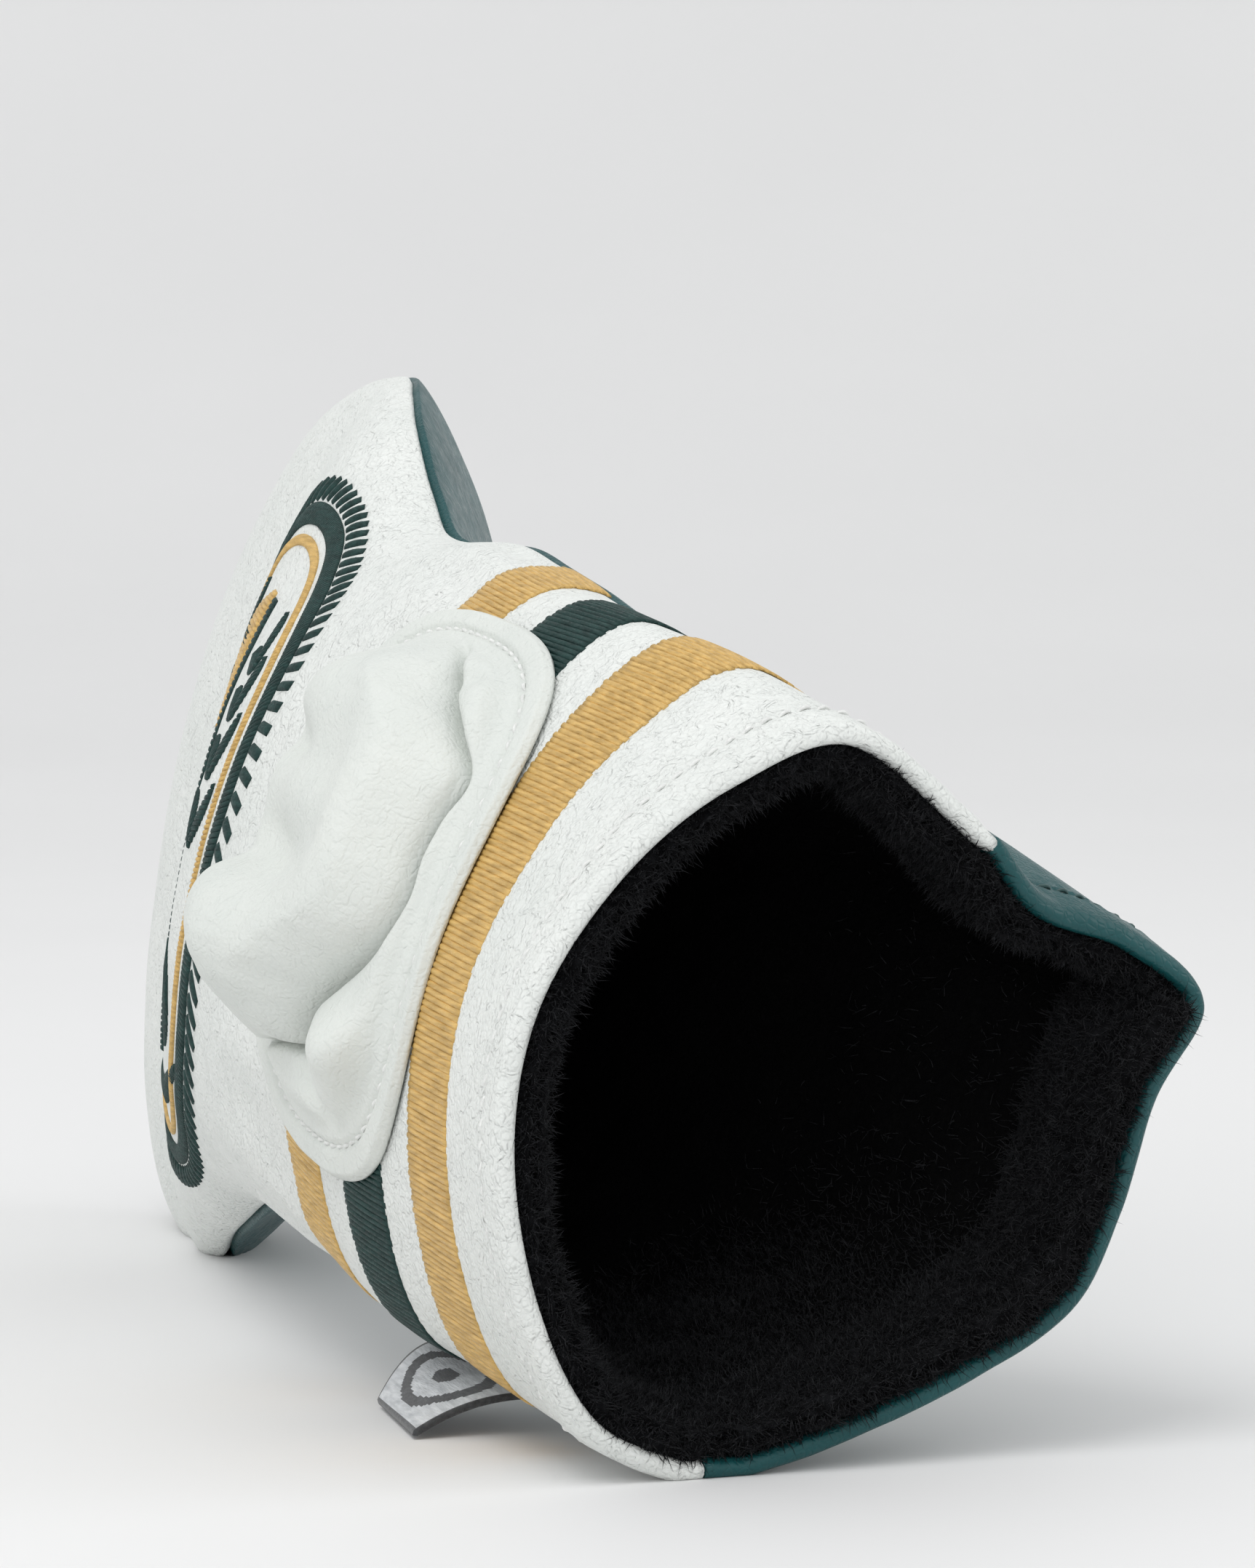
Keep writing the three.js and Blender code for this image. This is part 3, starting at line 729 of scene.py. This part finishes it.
# Places on the patch are (along, across) in shares of its half sizes: -1 is the mouth's side, and the
# lower edge. The valley runs down the mouth's side, and turns along the lower edge under the larger lobe.
VALLEY_ACROSS = [-1.0, -0.56, -0.42, -0.33, -0.17, -0.03, 0.1, 0.22, 0.37, 0.49, 0.61, 0.77, 1.0]
VALLEY_ALONG = [0.1, -0.07, -0.23, -0.38, -0.64, -0.72, -0.7, -0.7, -0.7, -0.52, -0.27, -0.04, 0.35]
UNDER_ALONG = [-1.0, -0.07, 0.2, 0.45, 0.94]
UNDER_ACROSS = [-0.58, -0.57, -0.6, -0.66, -0.73]
ROLL = [(-0.15, 0.66), (-0.32, 0.42), (-0.4, 0.2), (-0.42, 0.0), (-0.3, -0.18), (-0.05, -0.3), (0.2, -0.38)]
SOFT_CREASE = [(-0.07, -0.57), (-0.13, -0.66), (-0.3, -0.76), (-0.44, -0.84)]
# Swells and hollows: place, half widths, height in mm.
ROLL_SWELLS = [
    ((0.22, 0.42), (0.42, 0.2), 3.6),
    ((0.05, 0.12), (0.35, 0.1), 1.6),
    ((0.42, -0.3), (0.46, 0.2), 7.0),
    ((0.42, 0.25), (0.2, 0.07), -3.2),
    ((0.3, -0.06), (0.34, 0.09), -3.2),
    ((0.6, -0.13), (0.3, 0.05), -2.2),
]
LOW_SWELLS = [
    ((-0.52, -0.52), (0.24, 0.13), 4.6),
    ((-0.55, 0.62), (0.2, 0.14), 1.6),
    ((-0.34, 0.69), (0.1, 0.05), -1.3),
]


def patch_mm(a, b):
    return np.stack([a * PATCH["half_s"], b * PATCH["half_u"] * PATCH_WIDTH], -1)


def line_distance(a, b, line):
    """Distance in mm from each place on the patch to a line across it."""
    spots = patch_mm(a, b)
    corners = [patch_mm(np.array(x), np.array(y)) for x, y in line]
    nearest = np.full(a.shape, 1e9)
    for p, q in zip(corners[:-1], corners[1:]):
        t = np.clip(((spots - p) @ (q - p)) / ((q - p) @ (q - p)), 0, 1)
        nearest = np.minimum(nearest, np.linalg.norm(spots - (p + t[..., None] * (q - p)), axis=-1))
    return nearest


def swell(a, b, swells):
    total = np.zeros_like(a)
    for (at_a, at_b), (wide_a, wide_b), tall in swells:
        total += tall * np.exp(-(((a - at_a) / wide_a) ** 2) - ((b - at_b) / wide_b) ** 2)
    return total


def past_valley(a, b):
    """How far in mm a place lies past the valley, on the roll's side, and past the crease under the lobe."""
    valley = smooth_table(VALLEY_ACROSS, VALLEY_ALONG)
    under = smooth_table(UNDER_ALONG, UNDER_ACROSS)
    at = np.linspace(-1, 1, 201)
    step = 2 * PATCH["half_u"] * PATCH_WIDTH / 200
    slope = np.gradient(valley(at), step) * PATCH["half_s"]
    lean = 1 / np.sqrt(1 + np.interp(b, at, slope) ** 2)
    from_valley = (a - valley(b)) * PATCH["half_s"] * lean
    from_under = (b - under(a)) * PATCH["half_u"] * PATCH_WIDTH
    return from_valley, from_under


def patch_height(r, a, b, points):
    """The patch's height in mm: the rolled lobes, the low ground beside them and the crease between."""
    inside = np.clip(1 - r / PATCH["flange"], 0, 1)
    from_valley, from_under = past_valley(a, b)
    past = np.minimum(from_valley, from_under)
    rim_rise = smooth_step(0, 0.42, inside) ** 0.75
    ridge = 2.8 * np.exp(-((line_distance(a, b, ROLL) / 6.5) ** 2))
    roll = (8.2 + ridge + swell(a, b, ROLL_SWELLS)) * rim_rise
    low = (2.4 * smooth_step(0, 0.16, inside) + swell(a, b, LOW_SWELLS)) * smooth_step(0, 0.1, inside)
    low -= 1.5 * np.exp(-((line_distance(a, b, SOFT_CREASE) / 1.8) ** 2)) * smooth_step(0, 0.1, inside)
    over = smooth_step(0, 6.5, past) ** 0.8
    dome = low * (1 - over) + np.maximum(roll, low) * over
    crease = np.exp(-((past / 1.1) ** 2)) * smooth_step(0.02, 0.14, inside)
    dome -= 2.8 * crease
    ripple_at = np.stack([a * 6.0, b * 38.0, 0 * a], -1)
    ripples = rough(ripple_at, 1.0, 71) * np.exp(-(((past - 7) / 6) ** 2)) * smooth_step(0.05, 0.3, inside)
    dome += 0.13 * ripples + 0.25 * rough(points, 12, 72) * smooth_step(0, 0.3, inside)
    groove = 0.75 * bell(r, PATCH_STITCH_AT, 0.015)
    edge = 1.0 * smooth_step(0.965, 1.0, r) ** 2
    return FLANGE_TOP + np.maximum(dome, -0.8) - groove - edge + 0.12 * rough(points, 7, 73)


def patch_grid(radii, angles):
    """Places on the patch: the share of the way out, along and across in half sizes, and s and u."""
    r, angle = np.meshgrid(radii, angles, indexing="ij")
    cos, sin = np.cos(angle), np.sin(angle)
    reach = r * (np.abs(cos) ** PATCH["power"] + np.abs(sin) ** PATCH["power"]) ** (-1 / PATCH["power"])
    a, b = reach * cos, reach * sin
    return r, a, b, PATCH["s"] + PATCH["half_s"] * a, PATCH["u"] + PATCH["half_u"] * b


def gathered_patch():
    radii = np.concatenate([np.linspace(0.004, 0.84, 96), np.linspace(0.85, 1.0, 20)])
    angles = np.linspace(0, 2 * np.pi, 400, endpoint=False)
    r, a, b, s, u = patch_grid(radii, angles)
    height = patch_height(r, a, b, surface("front", s, u))
    # The roll leans over the valley, and the lobe over its crease.
    from_valley, from_under = past_valley(a, b)
    inner = smooth_step(0.0, 0.2, 1 - r / PATCH["flange"])
    lean_s = 2.6 * np.exp(-(((from_valley - 2.6) / 2.2) ** 2)) * inner * (from_valley < from_under)
    lean_u = 2.4 * np.exp(-(((from_under - 2.6) / 2.2) ** 2)) * inner * (from_under <= from_valley)
    s, u = s - lean_s, u - lean_u / PATCH_WIDTH
    top = raised("front", s, u, height)
    under = raised("front", s, u, np.maximum(height - 1.1, np.where(r > 0.84, 0.7, 1.0)))
    points, faces = slab(top, under, wrap=True)
    piece = make("gathered_patch", points, faces, patch_white_painted_shade, stands_for=["gather_patch"])


def patch_stitches():
    angles = np.linspace(0, 2 * np.pi, PATCH_STITCHES + 1)
    _, _, _, s, u = patch_grid(np.array([PATCH_STITCH_AT]), angles)
    stitches("patch_stitches", "front", s[0], u[0], FLANGE_TOP - 0.55, 0.25, 0.3, white_thread,
             ["patch_stitch"], lay=raised)


gathered_patch()
patch_stitches()


# ---- The emblem: sizes and places in mm from its middle ----
SATIN_RIB = [(-0.56, -0.3), (-0.46, 0.4), (-0.2, 0.9), (0.2, 0.9), (0.46, 0.4), (0.56, -0.3)]
SATIN_HEIGHT = 0.6
SATIN_SECTIONS = 5
RING_STITCHES = 380
FRINGE_STITCHES = 96
STICK_HALF = 1.4
FLAG_LOW, FLAG_HIGH = 12.5, 30.5
FLAG_MIDDLE, FLAG_HALF = 21.5, 9.3
BALL = (-14, -18)
BALL_RADIUS = 7
LEAF_LENGTH, LEAF_WIDTH = 8.5, 3.4


def crest_place(across, up):
    """across and up are mm from the emblem's middle, along the cover and up the panel."""
    s = CREST["s"] + np.asarray(across, float)
    flat = np.minimum(s, HEAD_FULL)
    reach = (along["top_z"](flat) - along["bottom_z"](flat)) / 2
    width = np.pi * np.sqrt((reach**2 + along["front"](flat) ** 2) / 2)
    return s, CREST["u"] + np.asarray(up, float) / width


def satin(starts, ends, pitch):
    """Satin stitches from starts to ends, each (n, 2) in mm on the emblem."""
    starts, ends = np.asarray(starts, float), np.asarray(ends, float)
    direction = unit(ends - starts)
    sideways = np.stack([-direction[:, 1], direction[:, 0]], -1)
    count, corners = len(starts), len(SATIN_RIB)
    points = np.zeros((count, SATIN_SECTIONS, corners, 3))
    for k in range(SATIN_SECTIONS):
        t = k / (SATIN_SECTIONS - 1)
        lift = math.sin(math.pi * min(max(t, 0.04), 0.96)) ** 0.3
        for c, (across, up) in enumerate(SATIN_RIB):
            flat = starts + (ends - starts) * t + sideways * across * pitch
            s, u = crest_place(flat[:, 0], flat[:, 1])
            points[:, k, c] = on_leather("front", s, u, 0.15 + up * lift * SATIN_HEIGHT)
    return points.reshape(-1, 3), rib_faces(count, SATIN_SECTIONS, corners)


def crossing(at, low, high, pitch, upright=False):
    """Satin stitches from low to high, one at each place in at: level ones, or upright ones."""
    ends = [(at, 0 * at + end) if upright else (0 * at + end, at) for end in (low, high)]
    return satin(np.stack(ends[0], -1), np.stack(ends[1], -1), pitch)


def on_oval(inwards, angles):
    """Points inwards mm inside the emblem's edge."""
    across, up = CREST["across"] - inwards, CREST["up"] - inwards
    return np.stack([across * np.cos(angles), up * np.sin(angles)], -1)


def crest_piece(name, parts, material, stands_for):
    points, faces = join_parts(parts)
    make(name, points, faces, material, stands_for=[stands_for], weld=False)


def leaf(middle, angle):
    """A leaf of satin stitches that cross it at a slant."""
    t = np.linspace(0.04, 0.96, int(LEAF_LENGTH / 0.7))
    half = LEAF_WIDTH / 2 * np.sin(np.pi * t) ** 0.8
    forward = np.array([math.cos(angle), math.sin(angle)])
    sideways = np.array([-forward[1], forward[0]])
    spine = middle + forward * ((t - 0.5) * LEAF_LENGTH)[:, None]
    slant = forward * (0.6 * half)[:, None]
    return satin(spine - sideways * half[:, None] - slant, spine + sideways * half[:, None] + slant, 0.8)


def emblem():
    around = np.linspace(0, 2 * np.pi, RING_STITCHES, endpoint=False)
    spokes = np.linspace(0, 2 * np.pi, FRINGE_STITCHES, endpoint=False)
    ring = satin(on_oval(4.8, around), on_oval(8.8, around), 0.8)
    fringe = satin(on_oval(4.2, spokes), on_oval(-0.4, spokes + 0.05), 1.4)
    crest_piece("emblem_outer_ring", [ring, fringe], green, "crest_outer_ring")
    gold_ring = satin(on_oval(10.6, around), on_oval(12.4, around), 0.7)
    crest_piece("emblem_gold_ring", [gold_ring], gold, "crest_gold_ring")
    stick = crossing(np.arange(-26, 30, 0.8), -STICK_HALF, STICK_HALF, 0.9)
    crest_piece("emblem_flagstick", [stick], green, "crest_flagstick")
    rows = np.arange(FLAG_LOW, FLAG_HIGH, 0.75)
    reach = 2 + 21 * (1 - np.abs(rows - FLAG_MIDDLE) / FLAG_HALF)
    crest_piece("emblem_flag", [crossing(rows, 1.8, reach, 0.85)], gold, "crest_flag")
    columns = np.arange(-20.5, -7.4, 0.75)
    half = np.sqrt(np.maximum(BALL_RADIUS**2 - (columns - BALL[0]) ** 2, 0.3))
    parts = [crossing(columns, BALL[1] - half, BALL[1] + half, 0.85, upright=True)]
    for mirror, first in ((-1, 5), (1, 2)):  # the ball takes the first leaves' place
        for k in range(first, 9):
            turn = -math.pi / 2 + mirror * (0.34 + 0.27 * k)
            for layer, lean in ((17, 0.6), (21.5, -0.6)):
                middle = on_oval(layer, np.array([turn]))[0]
                parts.append(leaf(middle, turn + mirror * (math.pi / 2 - lean)))
    mound = np.arange(-24, 24.1, 0.8)
    ground = -31 + 0.004 * mound**2
    parts.append(crossing(mound, ground - 3 * np.cos(mound / 16), ground + 1.5, 0.85, upright=True))
    crest_piece("emblem_ball_and_leaves", parts, green, "crest_ball")


emblem()


# ---- The woven labels ----
LABEL_FOLD = 0.96  # the share of the way out where the fold rounds off
LABEL_DEPTH = 17  # from the seam to the fold
RING_INNER, RING_OUTER, DOT_RADIUS = 7.2, 9.6, 2.6


def side_label():
    """A folded label: the upper face runs out from the seam to the fold, and the lower face back again."""
    root = [surface("front", s, 0.0, -0.3 - LABEL["thickness"]) for s in (LABEL["start"], LABEL["end"])]
    floor = 0.25 + LABEL["thickness"] / 2
    half = LABEL["thickness"] / 2

    def middle_line(v, w):
        """The label's middle: v runs along the seam, and w from the seam out to the fold."""
        start = root[0] + (root[1] - root[0]) * v[..., None]
        x = start[..., 0] + (LABEL["tip_x"] + LABEL["skew"] * v - start[..., 0]) * w
        wave = 0.5 * np.sin(v * 5.0 + 0.6) * w * (1 - w) * 2
        z = floor + (start[..., 2] - floor) * (1 - w**2.2) + wave
        return np.stack([x, start[..., 1] + LABEL["trail"] * w, z], -1)

    v, w = np.meshgrid(np.linspace(0, 1, 60), np.linspace(0, 1, 44), indexing="ij")
    middle = middle_line(v, w)
    out = unit(np.cross(np.gradient(middle, axis=0), np.gradient(middle, axis=1)))
    out = out * np.sign(out[..., 2:3])
    past_fold = (w - LABEL_FOLD) / (1 - LABEL_FOLD)
    taper = np.where(w > LABEL_FOLD, np.sqrt(np.clip(1 - past_fold**2, 0, 1)), 1.0)[..., None]
    upper = middle + out * half * taper
    lower = middle - out * half * taper
    lower[..., 2] = np.maximum(lower[..., 2], 0.15)
    points, faces = slab(upper, lower)
    piece = make("folded_side_label", points, faces, label_silver, body="label",
                 stands_for=["side_label"])
    piece.data.materials.append(label_dark)
    paint_label(piece, middle_line)


def paint_label(piece, middle_line):
    """Gives the dark material to the faces of a plain ring, a border and the underside."""
    spots_v, spots_w = np.meshgrid(np.linspace(0, 1, 140), np.linspace(0, 1, 100), indexing="ij")
    spots = place(middle_line(spots_v, spots_w)).reshape(-1, 3)
    width = LABEL["end"] - LABEL["start"]
    for polygon in piece.data.polygons:
        nearest = np.argmin(((spots - np.array(polygon.center)) ** 2).sum(-1))
        v, w = spots_v.ravel()[nearest], spots_w.ravel()[nearest]
        from_middle = math.hypot((v - 0.5) * width, (w - 0.45) * LABEL_DEPTH * 1.35)
        ring = RING_INNER < from_middle < RING_OUTER or from_middle < DOT_RADIUS
        border = min(v, 1 - v) < 0.02 or w > 0.965
        if polygon.normal.z < 0.1 or ring or border:
            polygon.material_index = 1


side_label()


def care_label():
    s, u = np.meshgrid(np.linspace(16, 40, 14), np.linspace(0.3, 0.39, 12), indexing="ij")
    inset = 8.4 + 0.8 * np.sin(s / 5.0)
    outer, inner = surface("front", s, u, inset), surface("front", s, u, inset + 0.4)
    points, faces = slab(outer, inner)
    make("inside_care_label", points, faces, label_silver, stands_for=["care_label"])


care_label()

# ---- CAD nodes that stay: the hidden threads and the elastic ----
for node_name, finish in (("top_seam_thread", white_thread), ("bottom_seam_thread", white_thread),
                          ("gather_elastic", elastic_white)):
    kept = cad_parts[node_name]
    kept.data.materials.clear()
    kept.data.materials.append(finish)


# ---- Floor, light and camera, in metres ----
VIEW_AZIMUTH, VIEW_ELEVATION = -22, 3  # degrees
EYE = (-245.8, -585.2, 118.7)  # in the cover's own mm
LENS, SENSOR = 120, 36
FLOOR_REACH = 14


def studio():
    floor_look = Look("studio_floor", (0.8, 0.8, 0.8), 0.6, Specular_IOR_Level=0.2)
    floor_look.color(floor_look.ramp(floor_look.noise(300), (0.3, (0.79,)), (0.7, (0.81,))))
    across = np.linspace(-FLOOR_REACH, FLOOR_REACH, 15)
    profile = [(-FLOOR_REACH, 0), (-5, 0), (0, 0), (1.2, 0), (1.8, 0.06), (2.3, 0.28), (2.6, 0.7),
               (2.7, 1.4), (2.7, 4.0)]
    points = [(x, y, z) for y, z in profile for x in across]
    mesh = bpy.data.meshes.new("sweep")
    mesh.from_pydata(points, [], grid_quads(len(profile), len(across)).tolist())
    mesh.polygons.foreach_set("use_smooth", [True] * len(mesh.polygons))
    mesh.materials.append(floor_look.material)
    sweep = bpy.data.objects.new("sweep", mesh)
    bpy.context.scene.collection.objects.link(sweep)
    smoother = sweep.modifiers.new("smooth", "SUBSURF")
    smoother.levels = smoother.render_levels = 3
    sweep.rotation_euler.z = math.radians(VIEW_AZIMUTH)


def softbox(name, place_at, aim, size, power):
    data = bpy.data.lights.new(name, "AREA")
    data.shape = "RECTANGLE"
    data.size, data.size_y = size
    data.energy = power
    lamp = bpy.data.objects.new(name, data)
    lamp.location = place_at
    lamp.rotation_euler = (Vector(aim) - Vector(place_at)).to_track_quat("-Z", "Y").to_euler()
    bpy.context.scene.collection.objects.link(lamp)


def lights():
    world = bpy.data.worlds.new("studio")
    world.use_nodes = True
    world.node_tree.nodes["Background"].inputs["Color"].default_value = (0.99, 0.995, 1.0, 1)
    world.node_tree.nodes["Background"].inputs["Strength"].default_value = 0.93
    bpy.context.scene.world = world
    softbox("key", (-0.7, -0.5, 1.5), (0, 0, 0.05), (0.9, 0.9), 8)
    softbox("left", (-1.5, -0.1, 0.5), (0, 0, 0.07), (0.9, 0.8), 0.8)
    softbox("right", (1.2, -0.4, 0.9), (0, 0, 0.05), (0.8, 0.8), 2)
    bpy.context.scene.view_settings.view_transform = "Standard"


def camera():
    data = bpy.data.cameras.new("camera")
    data.sensor_width = SENSOR
    data.lens = LENS
    data.clip_end = 50
    eye = bpy.data.objects.new("camera", data)
    azimuth, elevation = math.radians(VIEW_AZIMUTH), math.radians(VIEW_ELEVATION)
    back = Vector((math.sin(azimuth) * math.cos(elevation), -math.cos(azimuth) * math.cos(elevation),
                   math.sin(elevation)))
    right = Vector((math.cos(azimuth), math.sin(azimuth), 0))
    up = back.cross(right)
    turn = Matrix((right, up, back)).transposed().to_4x4()
    eye.matrix_world = Matrix.Translation(Vector(place(EYE))) @ turn
    bpy.context.scene.collection.objects.link(eye)
    bpy.context.scene.camera = eye


studio()
lights()
camera()
